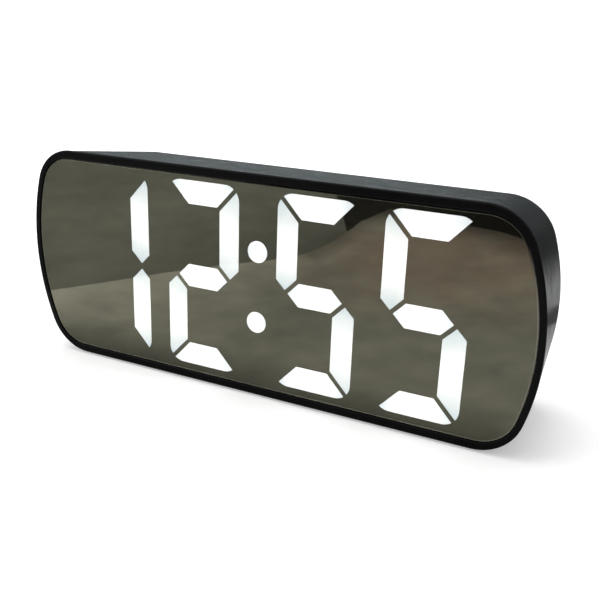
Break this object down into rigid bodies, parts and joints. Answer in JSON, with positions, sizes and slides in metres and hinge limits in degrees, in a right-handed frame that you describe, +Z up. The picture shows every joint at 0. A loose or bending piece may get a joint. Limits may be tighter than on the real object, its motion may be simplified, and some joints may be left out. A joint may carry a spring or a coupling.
{
  "type": "digital alarm clock",
  "caption": "Bedside alarm clock with a barrel-shaped mirror face, a large seven-segment light display, keys on the back and a battery pocket behind a hinged door.",
  "frame": {"origin": "middle of the outer size in plan, on the surface that the four rubber feet stand on", "axes": "+X to the right along the clock's length, +Y from the display to the rear cover, +Z up"},
  "size_m": [0.16, 0.0368, 0.0646],
  "materials": {
    "rim_black": "gloss black moulded plastic",
    "case_black": "satin charcoal moulded plastic",
    "cover_black": "fine-textured black moulded plastic",
    "smoked_mirror": "smoked half-mirror acrylic",
    "mask_black": "matt black film",
    "diffuser_white": "milky film",
    "reflector_white": "white moulded plastic",
    "board_green": "solder mask",
    "chip_black": "moulded epoxy",
    "steel": "zinc-plated steel",
    "contact_nickel": "nickel-plated spring steel",
    "key_black": "soft-touch black",
    "switch_black": "moulded plastic",
    "plunger_cream": "moulded plastic",
    "cell_jacket": "printed jacket",
    "foot_rubber": "matt rubber",
    "lead_red": "vinyl insulation",
    "lead_black": "vinyl insulation",
    "ribbon_grey": "vinyl ribbon"
  },
  "bodies": {
    "case": {"front_rim": "rim_black", "front_lens": "smoked_mirror", "segment_mask": "mask_black", "diffuser_film": "diffuser_white", "reflector_block": "reflector_white", "led_board": "board_green", "board_screw_1": "steel", "board_screw_2": "steel", "board_screw_3": "steel", "board_screw_4": "steel", "clock_chip": "chip_black", "crystal_can": "steel", "housing": "case_black", "rear_cover": "cover_black", "cover_screw_1": "steel", "cover_screw_2": "steel", "cover_screw_3": "steel", "cover_screw_4": "steel", "battery_cell_1": "cell_jacket", "battery_cell_2": "cell_jacket", "battery_cell_3": "cell_jacket", "contact_positive": "contact_nickel", "contact_bridge_upper": "contact_nickel", "contact_bridge_lower": "contact_nickel", "contact_negative": "contact_nickel", "key_board": "board_green", "key_board_screw_1": "steel", "key_board_screw_2": "steel", "key_board_screw_3": "steel", "switch_snooze": "switch_black", "switch_mode": "switch_black", "switch_alarm": "switch_black", "switch_up": "switch_black", "switch_down": "switch_black", "power_socket": "steel", "sounder": "chip_black", "battery_lead_red": "lead_red", "battery_lead_black": "lead_black", "sounder_lead_red": "lead_red", "sounder_lead_black": "lead_black", "ribbon_cable": "ribbon_grey", "foot_front_left": "foot_rubber", "foot_rear_left": "foot_rubber", "foot_front_right": "foot_rubber", "foot_rear_right": "foot_rubber"},
    "door": {"battery_door": "cover_black"},
    "snooze_key": {"key_snooze": "key_black", "plunger_snooze": "plunger_cream"},
    "mode_key": {"key_mode": "key_black", "plunger_mode": "plunger_cream"},
    "alarm_key": {"key_alarm": "key_black", "plunger_alarm": "plunger_cream"},
    "up_key": {"key_up": "key_black", "plunger_up": "plunger_cream"},
    "down_key": {"key_down": "key_black", "plunger_down": "plunger_cream"}
  },
  "joints": [
    {"name": "door_swing", "type": "hinge", "parent": "case", "child": "door", "pos_m": [0.011, 0.0176, 0.0121], "axis": [1, 0, 0], "range_deg": [-35, 0]},
    {"name": "snooze_press", "type": "slide", "parent": "case", "child": "snooze_key", "axis": [0, -1, 0], "range_m": [0, 0.0006], "stiffness_N_per_m": 800, "springref_m": -0.0003},
    {"name": "mode_press", "type": "slide", "parent": "case", "child": "mode_key", "axis": [0, -1, 0], "range_m": [0, 0.0006], "stiffness_N_per_m": 800, "springref_m": -0.0003},
    {"name": "alarm_press", "type": "slide", "parent": "case", "child": "alarm_key", "axis": [0, -1, 0], "range_m": [0, 0.0006], "stiffness_N_per_m": 800, "springref_m": -0.0003},
    {"name": "up_press", "type": "slide", "parent": "case", "child": "up_key", "axis": [0, -1, 0], "range_m": [0, 0.0006], "stiffness_N_per_m": 800, "springref_m": -0.0003},
    {"name": "down_press", "type": "slide", "parent": "case", "child": "down_key", "axis": [0, -1, 0], "range_m": [0, 0.0006], "stiffness_N_per_m": 800, "springref_m": -0.0003}
  ]
}
